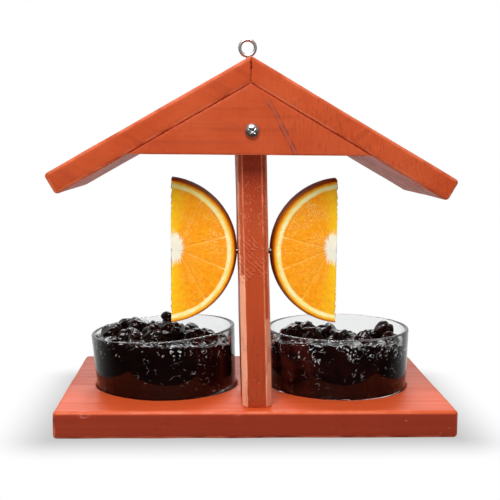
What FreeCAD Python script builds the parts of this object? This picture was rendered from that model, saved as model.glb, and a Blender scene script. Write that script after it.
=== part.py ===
import FreeCAD, Part
import math
import os

# Roofed feeder for jelly and cut fruit, in millimetres.
# The origin is the middle of the base board's underside. The post stands at the front edge, towards -Y,
# and +X is on the right as the feeder faces the viewer.

# Base board, sized by the wood left round the two dish seats
base_thick = 15.9
base_edge_round = 2.5
base_foot_round = 1.2
seat_web = 19.4
seat_end_margin = 17.13
seat_front_margin = 22.9
seat_rear_margin = 29.33
seat_clearance = 0.2
seat_edge_ease = 0.5

# Glass dishes, which narrow a little towards the foot and wedge in round seats cut through the base board
dish_rim_radius = 44.5
dish_foot_radius = 43.0
dish_height = 39.0
dish_wall = 2.4
dish_floor = 3.2
dish_heel_round = 4.0
dish_well_round = 3.0
dish_lip_round = 1.0
left_dish_sink = 4.5
left_dish_tilt = 4.0
right_dish_sink = 3.5
right_dish_tilt = 0.5

# Jelly, heaped towards one side of each dish. Its depth is from the rim down to its level at the middle,
# and the high side is a heading in degrees from +X, turning towards +Y.
jelly_gap = 0.1
left_jelly_depth = 6.5
left_jelly_slope = 8.0
left_jelly_high_side = 215.0
right_jelly_depth = 9.5
right_jelly_slope = 8.0
right_jelly_high_side = 262.0

# Each lump is its centre, across, back and up from the middle of the jelly's level, and its radius
left_jelly_lumps = [
    (-31, -2, 4.5, 7.5), (-24, 10, 4.0, 8.0), (-17, 6, 5.5, 8.0), (-20, -12, 1.0, 9.0), (-5, 2, 3.0, 7.5),
    (-4, -13, 1.5, 9.5), (3, -4, 13.0, 3.5), (6, -8, 3.0, 9.0), (15, 8, -1.0, 7.5), (19, -9, -1.5, 8.0),
    (27, 2, -3.0, 7.0),
]
right_jelly_lumps = [
    (-29, -2, 5.0, 7.5), (-20, 8, 6.0, 7.0), (-17, -8, 3.0, 8.0), (-7, 1, 4.5, 7.5), (0, -10, 1.5, 8.5),
    (8, 6, -1.0, 6.5), (15, -6, 0.0, 7.5), (22, 3, 1.5, 6.0), (30, 2, 6.0, 6.0), (32, -8, 0.5, 6.5),
]

# Post, which leans a little to the left
post_width = 17.0
post_depth = 38.1
post_setback = 7.5
post_foot_x = 0.5
post_lean = 1.8
post_chamfer = 3.0

# Gable board on the front of the post, under the ridge
gable_thick = 12.7
gable_height = 38.1
gable_lift = 142.8
gable_edge_ease = 0.5

# Roof: two boards to a slope, mitred at the ridge, with their front edges flush with the gable board
roof_pitch = 30.0
roof_thick = 12.7
roof_left_length = 128.8
roof_right_length = 132.8
front_board_depth = 63.5
rear_board_depth = 50.8
roof_edge_round = 2.0
roof_seam_ease = 0.5

# Ridge rail behind the post
rail_width = 17.0
rail_height = 25.4
rail_rear_inset = 6.0

# Fasteners. The fit gap is left round each one, and cutting solids overshoot what they cut.
fit_gap = 0.05
overshoot = 1.0
screw_shank_radius = 1.9
screw_tip = 4.0
screw_tip_radius = 0.3
pan_head_radius = 4.1
pan_head_height = 2.6
pan_head_round = 1.4
gable_screw_length = 32.0
gable_screw_rise = 13.0
flat_head_radius = 4.0
flat_head_cone = 2.4
flat_head_inset = 0.3
post_screw_length = 44.0
post_screw_spacing = 19.0
cross_span = 4.6
cross_width = 0.9
cross_depth = 1.3
brad_radius = 0.7
brad_length = 25.4
brad_head_radius = 1.2
brad_head_height = 0.8
brad_inset = 0.2
brad_cover = 3.0
ridge_brad_run = 12.0
ridge_brad_stagger = 3.0
rail_brad_spacing = 20.0

# Screw eye on the ridge
eye_wire_radius = 1.1
eye_ring_radius = 4.6
eye_stem = 3.9
eye_shank_depth = 24.0
eye_setback = 57.2

# Fruit spike through the post, and the half slices pushed onto it
spike_radius = 1.6
spike_point = 6.0
spike_tip_radius = 0.3
slice_radius = 42.6
slice_thick = 12.0
slice_width = 38.1
slice_lift = 7.4
slice_bore_gap = 0.1
slice_bore_extra = 1.0
slice_beyond_spike = 8.1
left_slice_gap = 0.3
right_slice_gap = 1.6

X = FreeCAD.Vector(1, 0, 0)
Y = FreeCAD.Vector(0, 1, 0)
Z = FreeCAD.Vector(0, 0, 1)

def vec(x, y, z):
    return FreeCAD.Vector(x, y, z)


def dish_radius(height_above_foot):
    share = height_above_foot / dish_height
    return dish_foot_radius + (dish_rim_radius - dish_foot_radius) * share


def room_for_dish(sink, tilt):
    """The radius of the round seat that a sunk and tilted dish just fits."""
    turn = math.radians(tilt)
    return dish_radius(sink) / math.cos(turn) + sink / 2 * math.tan(turn)


# Places that several pieces share
seat_radius = seat_clearance + max(room_for_dish(left_dish_sink, left_dish_tilt),
                                   room_for_dish(right_dish_sink, right_dish_tilt))
seat_x = seat_web / 2 + seat_radius
base_length = 2 * (seat_x + seat_radius + seat_end_margin)
base_depth = seat_front_margin + 2 * seat_radius + seat_rear_margin
seat_row_y = (seat_front_margin - seat_rear_margin) / 2
slope_cos = math.cos(math.radians(roof_pitch))
slope_sin = math.sin(math.radians(roof_pitch))
slope_tan = slope_sin / slope_cos
lean_tan = math.tan(math.radians(post_lean))
post_front = post_setback - base_depth / 2
post_rear = post_front + post_depth
roof_front = post_front - gable_thick
seam_y = roof_front + front_board_depth
roof_rear = seam_y + rear_board_depth
gable_bottom = base_thick + gable_lift
under_ridge = gable_bottom + gable_height
ridge_top = under_ridge + roof_thick / slope_cos
spike_y = post_front + post_depth / 2
spike_reach = slice_width - slice_beyond_spike


def post_x(z):
    """Where the leaning post's middle is at height z."""
    return post_foot_x - (z - base_thick) * lean_tan


ridge_x = post_x(under_ridge)


def dish_placement(side):
    """The dish's axis passes through its seat's middle, halfway down the part that is in the board."""
    sink = left_dish_sink if side < 0 else right_dish_sink
    tilt = left_dish_tilt if side < 0 else right_dish_tilt
    turn = FreeCAD.Rotation(Y, -tilt)
    middle = vec(side * seat_x, seat_row_y, base_thick - sink / 2)
    return FreeCAD.Placement(middle - turn.multVec(Z * (sink / 2)), turn)


def rim_peak(side):
    """The height of the highest point of a dish's rim."""
    placement = dish_placement(side)
    tilt = left_dish_tilt if side < 0 else right_dish_tilt
    return placement.multVec(Z * dish_height).z + dish_rim_radius * math.sin(math.radians(tilt))


spike_z = max(rim_peak(-1), rim_peak(1)) + slice_lift + slice_radius


def prism_xz(points, y_from, y_to):
    """A closed outline of (x, z) points, extruded from y_from to y_to."""
    corners = [vec(x, y_from, z) for x, z in points]
    face = Part.Face(Part.makePolygon(corners + corners[:1]))
    return face.extrude(Y * (y_to - y_from))


def edges_where(shape, test):
    """The edges whose every vertex, and middle, pass the test."""
    found = []
    for edge in shape.Edges:
        middle = edge.valueAt((edge.FirstParameter + edge.LastParameter) / 2)
        if all(test(p) for p in [v.Point for v in edge.Vertexes] + [middle]):
            found.append(edge)
    return found


def among(edge, edges):
    return any(edge.isSame(other) for other in edges)


def at_height(shape, z):
    return edges_where(shape, lambda p: abs(p.z - z) < 1e-4)


def screw_shank(length, radius):
    """A round shank from the origin along +Z, with a pointed tip."""
    straight = Part.makeCylinder(radius, length - screw_tip)
    tip = Part.makeCone(radius, screw_tip_radius, screw_tip, vec(0, 0, length - screw_tip))
    return straight.fuse(tip)


def cross_recess():
    """The driver's cross, cut from the origin along +Z."""
    half = cross_span / 2
    bar = Part.makeBox(cross_span, cross_width, cross_depth, vec(-half, -cross_width / 2, 0))
    return bar.fuse(Part.makeBox(cross_width, cross_span, cross_depth, vec(-cross_width / 2, -half, 0)))


def turned_to(direction, place):
    """The placement that turns +Z to a direction and moves the origin to a place."""
    return FreeCAD.Placement(place, FreeCAD.Rotation(Z, direction))


def placed(shape, placement):
    moved = shape.copy()
    moved.Placement = placement
    return moved


# Dishes and what is in them, each made upright on the dish's foot, then sunk into its seat and tilted
def dish_inside(gap, above_rim):
    """The hollow of a dish, less a gap all round, carried on past the rim."""
    rise = dish_height - dish_floor + above_rim
    growth = (dish_rim_radius - dish_foot_radius) / dish_height
    low = dish_radius(dish_floor) - dish_wall - gap
    hollow = Part.makeCone(low, low + growth * (rise - gap), rise - gap, vec(0, 0, dish_floor + gap))
    return hollow.makeFillet(dish_well_round, at_height(hollow, dish_floor + gap))


def glass_dish(side):
    outside = Part.makeCone(dish_foot_radius, dish_rim_radius, dish_height)
    outside = outside.makeFillet(dish_heel_round, at_height(outside, 0))
    dish = outside.cut(dish_inside(0, overshoot))
    dish = dish.makeFillet(dish_lip_round, at_height(dish, dish_height))
    return placed(dish, dish_placement(side))


def jelly(side):
    depth, slope, high_side, lumps = (
        (left_jelly_depth, left_jelly_slope, left_jelly_high_side, left_jelly_lumps) if side < 0 else
        (right_jelly_depth, right_jelly_slope, right_jelly_high_side, right_jelly_lumps))
    room = dish_inside(jelly_gap, dish_height)
    # The block's top is the jelly's sloping surface, high on the side that it is heaped against
    heading = math.radians(high_side)
    hinge = vec(math.sin(heading), -math.cos(heading), 0)
    span = 2 * dish_rim_radius
    block = Part.makeBox(2 * span, 2 * span, dish_height, vec(-span, -span, -dish_height))
    block.rotate(vec(0, 0, 0), hinge, slope)
    level = dish_height - depth
    block.translate(Z * level)
    heap = room.common(block)
    balls = [Part.makeSphere(radius, vec(x, y, level + z)).common(room) for x, y, z, radius in lumps]
    return placed(heap.fuse(balls).removeSplitter(), dish_placement(side))


# Wooden pieces
def base_board():
    corner = vec(-base_length / 2, -base_depth / 2, 0)
    board = Part.makeBox(base_length, base_depth, base_thick, corner)
    upright = [e for e in board.Edges if abs(e.Vertexes[0].Z - e.Vertexes[-1].Z) > base_thick / 2]
    board = board.makeFillet(base_edge_round, upright + at_height(board, base_thick))
    board = board.makeFillet(base_foot_round, at_height(board, 0))
    for side in (-1, 1):
        seat = Part.makeCylinder(seat_radius, 2 * base_thick, vec(side * seat_x, seat_row_y, -base_thick / 2))
        ease = Part.makeCone(seat_radius, seat_radius + 2 * seat_edge_ease, 2 * seat_edge_ease,
                             vec(side * seat_x, seat_row_y, base_thick - seat_edge_ease))
        board = board.cut(seat.fuse(ease))
    for y in post_screw_places():
        board = board.cut(post_screw_hole(y))
    return board


def under_roof(y_from, y_to):
    """Everything below the roof's underside, between two depths."""
    reach = max(roof_left_length, roof_right_length)
    drop = reach * slope_tan
    return prism_xz([(ridge_x, under_ridge), (ridge_x - reach, under_ridge - drop),
                     (ridge_x - reach, -reach), (ridge_x + reach, -reach),
                     (ridge_x + reach, under_ridge - drop)], y_from, y_to)


def post():
    half = post_width / 2
    cut = post_chamfer
    outline = [(-half, post_rear), (half, post_rear), (half, post_front + cut), (half - cut, post_front),
               (cut - half, post_front), (-half, post_front + cut)]
    corners = [vec(post_foot_x + x, y, base_thick) for x, y in outline]
    foot = Part.Face(Part.makePolygon(corners + corners[:1]))
    rise = ridge_top - base_thick
    upright = foot.extrude(vec(-rise * lean_tan, 0, rise))
    upright = upright.common(under_roof(post_front - overshoot, post_rear + overshoot))
    for y in post_screw_places():
        upright = upright.cut(post_screw_hole(y))
    upright = upright.cut(gable_screw_hole())
    bore = Part.makeCylinder(spike_radius + fit_gap, base_length, vec(-base_length / 2, spike_y, spike_z), X)
    return upright.cut(bore).cut(brad_holes())


def gable_board():
    half = gable_height / slope_tan
    board = prism_xz([(ridge_x, under_ridge), (ridge_x - half, gable_bottom), (ridge_x + half, gable_bottom)],
                     roof_front, post_front)
    board = board.makeChamfer(gable_edge_ease, edges_where(board, lambda p: abs(p.y - roof_front) < 1e-4))
    return board.cut(gable_screw_hole()).cut(brad_holes())


def ridge_rail():
    half = rail_width / 2
    rear = roof_rear - rail_rear_inset
    corner = vec(ridge_x - half, post_rear, under_ridge - rail_height)
    bar = Part.makeBox(rail_width, rear - post_rear, rail_height, corner)
    return bar.common(under_roof(post_rear - overshoot, roof_rear)).cut(eye_hole()).cut(brad_holes())


def roof_board(side, y_from, y_to):
    """One board of a slope. Its outer edges are rounded, most on top, and its seam edges are eased."""
    length = roof_left_length if side < 0 else roof_right_length
    eave_x = ridge_x + side * length * slope_cos
    eave_z = ridge_top - length * slope_sin
    board = prism_xz([(ridge_x, ridge_top), (eave_x, eave_z),
                      (eave_x - side * roof_thick * slope_sin, eave_z - roof_thick * slope_cos),
                      (ridge_x, under_ridge)], y_from, y_to)
    end_y = y_from if y_to <= seam_y else y_to
    end_edges = edges_where(board, lambda p: abs(p.y - end_y) < 1e-4)
    eave_edges = edges_where(board, lambda p: abs(p.x - ridge_x) > length / 2)
    mitre_edges = edges_where(board, lambda p: abs(p.x - ridge_x) < 1e-4)
    seam_edges = edges_where(board, lambda p: abs(p.y - seam_y) < 1e-4)
    outer_edges = [e for e in board.Edges if among(e, end_edges) and not among(e, mitre_edges)
                   or among(e, eave_edges) and not among(e, seam_edges)]
    board = board.makeFillet(roof_edge_round, outer_edges)
    seam_edges = [e for e in edges_where(board, lambda p: abs(p.y - seam_y) < 1e-4) if e.Length > length / 2]
    board = board.makeChamfer(roof_seam_ease, seam_edges)
    return board.cut(eye_hole()).cut(brad_holes())


# Fasteners
def gable_screw_place():
    z = gable_bottom + gable_screw_rise
    return vec(post_x(z), roof_front, z)


def gable_screw():
    shank = screw_shank(gable_screw_length, screw_shank_radius)
    head = Part.makeCylinder(pan_head_radius, pan_head_height, vec(0, 0, -pan_head_height))
    head = head.makeFillet(pan_head_round, at_height(head, -pan_head_height))
    recess = cross_recess()
    recess.translate(Z * -pan_head_height)
    return placed(shank.fuse(head).cut(recess).removeSplitter(), turned_to(Y, gable_screw_place()))


def gable_screw_hole():
    return placed(screw_shank(gable_screw_length + fit_gap, screw_shank_radius + fit_gap),
                  turned_to(Y, gable_screw_place()))


def post_screw_places():
    middle = post_front + post_depth / 2
    return [middle - post_screw_spacing / 2, middle + post_screw_spacing / 2]


def post_screw(y):
    start = flat_head_inset
    shank = screw_shank(post_screw_length - start, screw_shank_radius)
    head = Part.makeCone(flat_head_radius, screw_shank_radius, flat_head_cone)
    screw = shank.fuse(head).cut(cross_recess()).removeSplitter()
    return placed(screw, FreeCAD.Placement(vec(post_foot_x, y, start), FreeCAD.Rotation()))


def post_screw_hole(y):
    shank = screw_shank(post_screw_length + fit_gap, screw_shank_radius + fit_gap)
    wide = flat_head_radius + fit_gap
    sink = Part.makeCylinder(wide, flat_head_inset).fuse(
        Part.makeCone(wide, screw_shank_radius + fit_gap, flat_head_cone, vec(0, 0, flat_head_inset)))
    return placed(shank.fuse(sink), FreeCAD.Placement(vec(post_foot_x, y, 0), FreeCAD.Rotation()))


def brad_placements(side):
    """Square to the slope: two into the gable board, one into the post's top and two into the rail."""
    stagger = side * ridge_brad_stagger
    gable_y = roof_front + gable_thick / 2
    # The outer brad's tip keeps its cover of wood above the gable board's lower edge
    last_run = gable_height / slope_sin - (brad_length - roof_thick + brad_cover) / slope_tan
    rear_board_middle = seam_y + rear_board_depth / 2
    places = [(last_run / 2, gable_y), (last_run, gable_y), (ridge_brad_run, spike_y + stagger)]
    for offset in (-rail_brad_spacing / 2, rail_brad_spacing / 2):
        places.append((ridge_brad_run, rear_board_middle + offset + stagger))
    into_board = vec(-side * slope_sin, 0, -slope_cos)
    for run, y in places:
        surface = vec(ridge_x + side * run * slope_cos, y, ridge_top - run * slope_sin)
        yield turned_to(into_board, surface)


def brad():
    """A brad along +Z, its head a little below the board's surface at the origin."""
    head = Part.makeCylinder(brad_head_radius, brad_head_height, vec(0, 0, brad_inset))
    shank = Part.makeCylinder(brad_radius, brad_length - brad_inset, vec(0, 0, brad_inset))
    return head.fuse(shank).removeSplitter()


def brad_hole():
    head = Part.makeCylinder(brad_head_radius + fit_gap, brad_inset + brad_head_height + fit_gap)
    return head.fuse(Part.makeCylinder(brad_radius + fit_gap, brad_length + fit_gap))


def roof_brads(side):
    return Part.makeCompound([placed(brad(), spot) for spot in brad_placements(side)])


def brad_holes():
    spots = list(brad_placements(-1)) + list(brad_placements(1))
    return Part.makeCompound([placed(brad_hole(), spot) for spot in spots])


def eye_place():
    return vec(ridge_x, roof_front + eye_setback, ridge_top)


def hanging_eye():
    """A ring of wire in the plane that faces the front, on a pointed shank."""
    ring_middle = vec(0, 0, eye_stem + eye_wire_radius + eye_ring_radius)
    ring = Part.makeTorus(eye_ring_radius, eye_wire_radius, ring_middle, Y)
    shank = placed(screw_shank(eye_shank_depth + eye_stem + eye_wire_radius, eye_wire_radius),
                   turned_to(-Z, vec(0, 0, eye_stem + eye_wire_radius)))
    eye = ring.fuse(shank)
    return placed(eye, FreeCAD.Placement(eye_place(), FreeCAD.Rotation()))


def eye_hole():
    return placed(Part.makeCylinder(eye_wire_radius + fit_gap, eye_shank_depth + fit_gap),
                  turned_to(-Z, eye_place()))


# Fruit
def fruit_spike():
    reach = post_width / 2 + spike_reach
    straight = reach - spike_point
    rod = Part.makeCylinder(spike_radius, 2 * straight, X * -straight, X)
    for side in (-1, 1):
        point = Part.makeCone(spike_radius, spike_tip_radius, spike_point, X * (side * straight), X * side)
        rod = rod.fuse(point)
    return placed(rod, FreeCAD.Placement(vec(post_x(spike_z), spike_y, spike_z), FreeCAD.Rotation()))


def orange_slice(side):
    """A half slice whose rear face is the fruit's widest section, bored from the rind for the spike."""
    gap = left_slice_gap if side < 0 else right_slice_gap
    rind_x = post_x(spike_z) + side * (post_width / 2 + gap)
    rear = spike_y + slice_thick / 2
    front = rear - slice_thick
    middle_x = rind_x + side * slice_radius
    face_radius = math.sqrt(slice_radius ** 2 - slice_thick ** 2)
    bulge = vec(math.sqrt(slice_radius ** 2 - slice_thick ** 2 / 4), rear - slice_thick / 2, 0)
    rim_rear = vec(slice_radius, rear, 0)
    rim_front = vec(face_radius, front, 0)
    axis_front = vec(0, front, 0)
    axis_rear = vec(0, rear, 0)
    profile = Part.Wire([Part.makeLine(axis_front, rim_front), Part.Arc(rim_front, bulge, rim_rear).toShape(),
                         Part.makeLine(rim_rear, axis_rear), Part.makeLine(axis_rear, axis_front)])
    disc = Part.Face(profile).revolve(axis_front, Y, 360)
    disc.translate(vec(middle_x, 0, spike_z))
    keep_from = min(rind_x, rind_x + side * slice_width)
    keep = Part.makeBox(slice_width, 2 * slice_thick, 4 * slice_radius,
                        vec(keep_from, front - slice_thick / 2, spike_z - 2 * slice_radius))
    depth = spike_reach - gap + slice_bore_extra
    mouth = vec(rind_x - side * overshoot, spike_y, spike_z)
    bore = Part.makeCylinder(spike_radius + slice_bore_gap, overshoot + depth, mouth, X * side)
    return disc.common(keep).cut(bore)


def all_nodes():
    front_screw_y, rear_screw_y = post_screw_places()
    return {
        "base_board": base_board(),
        "post": post(),
        "gable_board": gable_board(),
        "ridge_rail": ridge_rail(),
        "roof_board_left_front": roof_board(-1, roof_front, seam_y),
        "roof_board_left_rear": roof_board(-1, seam_y, roof_rear),
        "roof_board_right_front": roof_board(1, roof_front, seam_y),
        "roof_board_right_rear": roof_board(1, seam_y, roof_rear),
        "roof_brads_left": roof_brads(-1),
        "roof_brads_right": roof_brads(1),
        "gable_screw": gable_screw(),
        "post_screw_front": post_screw(front_screw_y),
        "post_screw_rear": post_screw(rear_screw_y),
        "hanging_eye": hanging_eye(),
        "fruit_spike": fruit_spike(),
        "glass_dish_left": glass_dish(-1),
        "glass_dish_right": glass_dish(1),
        "jelly_left": jelly(-1),
        "jelly_right": jelly(1),
        "orange_slice_left": orange_slice(-1),
        "orange_slice_right": orange_slice(1),
    }


os.makedirs("parts", exist_ok=True)
for node, shape in all_nodes().items():
    shape.exportStep("parts/" + node + ".step")
    box = shape.BoundBox
    print(node, "solids", len(shape.Solids), "valid", shape.isValid(),
          "volume", round(shape.Volume), "low", [round(v, 2) for v in (box.XMin, box.YMin, box.ZMin)],
          "high", [round(v, 2) for v in (box.XMax, box.YMax, box.ZMax)])
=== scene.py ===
import math

import bmesh
import bpy
import numpy as np
from mathutils import Matrix, Vector, noise


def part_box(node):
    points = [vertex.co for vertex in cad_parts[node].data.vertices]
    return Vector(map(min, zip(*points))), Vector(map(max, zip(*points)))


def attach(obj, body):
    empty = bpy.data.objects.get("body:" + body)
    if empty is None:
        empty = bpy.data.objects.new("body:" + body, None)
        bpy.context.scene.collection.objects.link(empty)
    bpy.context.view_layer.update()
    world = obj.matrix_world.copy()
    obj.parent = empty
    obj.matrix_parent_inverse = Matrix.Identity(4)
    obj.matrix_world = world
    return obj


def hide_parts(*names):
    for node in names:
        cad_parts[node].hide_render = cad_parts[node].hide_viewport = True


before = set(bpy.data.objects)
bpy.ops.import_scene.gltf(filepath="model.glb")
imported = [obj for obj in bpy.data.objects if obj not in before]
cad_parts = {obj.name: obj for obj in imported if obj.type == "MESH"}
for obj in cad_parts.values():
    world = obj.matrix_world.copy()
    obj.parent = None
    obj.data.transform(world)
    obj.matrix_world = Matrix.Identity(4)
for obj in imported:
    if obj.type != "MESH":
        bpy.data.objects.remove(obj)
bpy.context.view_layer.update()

# Lengths are in millimetres here, and each finished piece is scaled to metres
toMetres = 0.001
axisX, axisY, axisZ = Vector((1, 0, 0)), Vector((0, 1, 0)), Vector((0, 0, 1))


def boxOf(node):
    low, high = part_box(node)
    return low / toMetres, high / toMetres


def cornersOf(node):
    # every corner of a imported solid, in millimetres
    return np.array([v.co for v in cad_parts[node].data.vertices]) / toMetres


def linked(name, data):
    piece = bpy.data.objects.new(name, data)
    bpy.context.scene.collection.objects.link(piece)
    return piece


def newObject(name, bm):
    mesh = bpy.data.meshes.new(name)
    bm.to_mesh(mesh)
    bm.free()
    return linked(name, mesh)


def applied(piece):
    # a bmesh of the piece with its modifiers applied, and the piece itself is taken away
    evaluated = piece.evaluated_get(bpy.context.evaluated_depsgraph_get())
    bm = bmesh.new()
    bm.from_mesh(evaluated.to_mesh())
    bpy.data.objects.remove(piece)
    return bm


def cutAway(bm, cutters):
    # cuts closed meshes out of a closed mesh
    piece = newObject("uncut", bm)
    tools = [newObject("cutter", cutter) for cutter in cutters]
    for tool in tools:
        cut = piece.modifiers.new("cut", "BOOLEAN")
        cut.operation, cut.solver, cut.object = "DIFFERENCE", "EXACT", tool
    bm = applied(piece)
    for tool in tools:
        bpy.data.objects.remove(tool)
    return bm


def finishPiece(bm, name, material, replaced, body="feeder"):
    for face in bm.faces:
        face.smooth = True
    bmesh.ops.scale(bm, vec=(toMetres,) * 3, verts=bm.verts)
    piece = newObject(name, bm)
    piece.data.materials.append(material)
    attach(piece, body)
    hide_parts(*replaced)
    print(name, "has", len(piece.data.polygons), "faces")
    return piece


# Shader helpers: an input is either a value or the output of another node, and the first one of each
# helper is an output, which knows its tree
def setInputs(node, inputs):
    for name, value in inputs.items():
        if isinstance(value, bpy.types.NodeSocket):
            node.id_data.links.new(value, node.inputs[name])
        else:
            node.inputs[name].default_value = value


def addNode(tree, kind, inputs=None, **settings):
    made = tree.nodes.new("ShaderNode" + kind)
    for name, value in settings.items():
        setattr(made, name, value)
    setInputs(made, inputs or {})
    return made


def calc(operation, first, second=0.5, third=0.5):
    made = addNode(first.id_data, "Math", {0: first, 1: second, 2: third}, operation=operation)
    return made.outputs[0]


def times(first, *others):
    for other in others:
        first = calc("MULTIPLY", first, other)
    return first


def plus(first, *others):
    for other in others:
        first = calc("ADD", first, other)
    return first


def minus(first, second):
    return calc("SUBTRACT", first, second)


def lengthOf(across, up):
    return calc("SQRT", plus(times(across, across), times(up, up)))


def mixColours(share, first, second):
    return addNode(share.id_data, "Mix", {0: share, 6: first, 7: second}, data_type="RGBA").outputs[2]


def mixShaders(share, first, second):
    return addNode(share.id_data, "MixShader", {0: share, 1: first.outputs[0], 2: second.outputs[0]})


def layered(colour, *layers):
    # each layer is how much of it shows, and its colour
    for share, tint in layers:
        colour = mixColours(share, colour, tint)
    return colour


def remap(value, low, high, newLow=0.0, newHigh=1.0):
    made = addNode(value.id_data, "MapRange", {0: value, 1: low, 2: high, 3: newLow, 4: newHigh},
                   interpolation_type="SMOOTHSTEP")
    return made.outputs[0]


def noiseValue(vector, scale, detail=3.0, distortion=0.0):
    made = addNode(vector.id_data, "TexNoise", {"Vector": vector, "Scale": scale, "Detail": detail,
                                                "Distortion": distortion})
    return made.outputs[0]


def mapped(vector, turn=(0, 0, 0), scale=(1, 1, 1), shift=(0, 0, 0)):
    inputs = {"Vector": vector, "Location": shift, "Rotation": turn, "Scale": scale}
    return addNode(vector.id_data, "Mapping", inputs).outputs[0]


def partsOf(vector):
    return addNode(vector.id_data, "SeparateXYZ", {0: vector}).outputs


def attributeValue(tree, name):
    return addNode(tree, "Attribute", attribute_name=name).outputs["Fac"]


def bumpFrom(height, distance, strength=1.0, before=None):
    inputs = {"Height": height, "Distance": distance, "Strength": strength}
    if before:
        inputs["Normal"] = before
    return addNode(height.id_data, "Bump", inputs).outputs[0]


def startMaterial(name):
    material = bpy.data.materials.new(name)
    material.use_nodes = True
    tree = material.node_tree
    shader = tree.nodes["Principled BSDF"]
    coordinates = tree.nodes.new("ShaderNodeTexCoord").outputs["Object"]
    return material, tree, shader, coordinates


# Paint
paint = {
    "colour": (0.475, 0.063, 0.0152, 1),
    "deep": (0.28, 0.031, 0.008, 1),
    "thin": (0.540, 0.088, 0.025, 1),
    "worn": (0.80, 0.190, 0.085, 1),
    # bare wood, for paint chips, and also painted light on the post's chamfers and a painted highlight along
    # the roof's underside seam
    "bareAndLit": (0.92, 0.42, 0.26, 1),
    # painted shade for the joints between boards
    "seam": (0.085, 0.010, 0.004, 1),
    # painted light for the base's top near its front
    "litTop": (0.76, 0.105, 0.024, 1),
    # painted shade, for the base's side faces and the post's top and foot
    "paintedShade": (0.290, 0.0265, 0.0080, 1),
    "roughness": 0.46,
}


def paintedWood(name, turn=(0, 0, 0), seed=0.0, detail=None, gloss=0.18):
    # the grain runs along X of the turned coordinates
    material, tree, shader, coordinates = startMaterial(name)
    along = mapped(coordinates, turn, (1, 1, 1), (seed, seed, seed))
    rings = noiseValue(mapped(along, scale=(5, 120, 120)), 1.0, 4, 0.4)
    fibre = noiseValue(mapped(along, scale=(45, 800, 800)), 1.0, 3)
    mottle = noiseValue(along, 30, 4, 0.4)
    brushed = noiseValue(mapped(along, scale=(20, 300, 300)), 1.0, 4)
    colour = layered(
        paint["colour"], (remap(mottle, 0.35, 0.75, 0, 0.8), paint["thin"]),
        (remap(rings, 0.5, 0.8, 0, 0.40), paint["deep"]),
        (remap(brushed, 0.52, 0.75, 0, 0.30), paint["deep"]),
        (remap(fibre, 0.5, 0.85, 0, 0.25), paint["thin"]))
    height = plus(times(rings, 0.6), times(fibre, 0.4))
    bump = bumpFrom(height, 0.0003, 0.7)
    bump = bumpFrom(noiseValue(along, 420, 3), 0.00015, 0.6, bump)
    if detail:
        colour, bump = detail(coordinates, colour, bump)
    streaked = remap(rings, 0.3, 0.75, 0.95, 0.75)
    # painted light on the base's top near its front, and painted shade on its side faces
    litTop = times(attributeValue(tree, "paintedLightTop"), streaked)
    side = times(attributeValue(tree, "paintedShadeSide"), streaked)
    warp = noiseValue(along, 90, 4)
    wear = times(attributeValue(tree, "edgeWear"), remap(warp, 0.3, 0.6, 0.35, 1.0))
    # bare wood, and painted light on the post's chamfers and a painted highlight along the roof's underside
    # seam
    bareAndLit = times(attributeValue(tree, "bareAndLitEdge"), remap(warp, 0.25, 0.5, 0.6, 1.0))
    dots = noiseValue(mapped(along, scale=(0.6, 1, 1)), 750, 1)
    speck = times(remap(dots, 0.76, 0.79, 0, 0.7), remap(noiseValue(along, 55, 1), 0.57, 0.63))
    # painted shade along the joints, broken here and there
    broken = remap(noiseValue(along, 170, 3), 0.36, 0.54, 0.30, 1.0)
    seam = times(attributeValue(tree, "seamShade"), broken)
    colour = layered(colour, (litTop, paint["litTop"]), (side, paint["paintedShade"]),
                     (remap(wear, 0.15, 0.85, 0, 0.95), paint["worn"]), (bareAndLit, paint["bareAndLit"]),
                     (speck, paint["bareAndLit"]), (remap(seam, 0.35, 0.8), paint["seam"]))
    roughness = remap(rings, 0.3, 0.8, paint["roughness"] - 0.06, paint["roughness"] + 0.12)
    setInputs(shader, {"Base Color": colour, "Roughness": roughness, "Normal": bump,
                       "Specular IOR Level": gloss})
    return material


def nearEdges(bm, name, edges, reach):
    # a value at every corner, from 1 on the listed edges to 0 at a distance from them
    layer = bm.verts.layers.float.new(name)
    points = np.array([v.co for v in bm.verts])
    nearest = np.full(len(points), 1e9)
    for start, end in edges:
        start, run = np.array(start), np.array(end) - np.array(start)
        share = np.clip((points - start) @ run / (run @ run), 0, 1)
        nearest = np.minimum(nearest, np.linalg.norm(points - start - share[:, None] * run, axis=1))
    for vert, distance in zip(bm.verts, nearest):
        vert[layer] = max(0.0, 1 - distance / reach)


def cutByPlane(bm, place, normal, clear=False):
    # with clear, what lies beyond the plane is taken away and the cut is left open
    return bmesh.ops.bisect_plane(bm, geom=bm.verts[:] + bm.edges[:] + bm.faces[:], dist=1e-4,
                                  plane_co=place, plane_no=normal, clear_outer=clear)


def cutOff(bm, place, normal):
    # takes away what lies beyond the plane and closes the cut
    cut = cutByPlane(bm, place, normal, True)
    bmesh.ops.contextual_create(bm, geom=[e for e in cut["geom_cut"] if isinstance(e, bmesh.types.BMEdge)])


def sliceAlong(bm, direction, step):
    # cuts the mesh by evenly spaced planes
    reach = [v.co.dot(direction) for v in bm.verts]
    low, high = min(reach), max(reach)
    count = round((high - low) / step)
    for turn in range(1, count):
        cutByPlane(bm, direction * (low + (high - low) * turn / count), direction)


def makeGrid(bm, grid, steps):
    for direction, step in steps:
        sliceAlong(bm, direction, step * grid)


def fillHoles(bm):
    bmesh.ops.holes_fill(bm, edges=[e for e in bm.edges if e.is_boundary])


def moveBy(bm, vec, verts=None):
    bmesh.ops.translate(bm, vec=vec, verts=verts or bm.verts)


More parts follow.
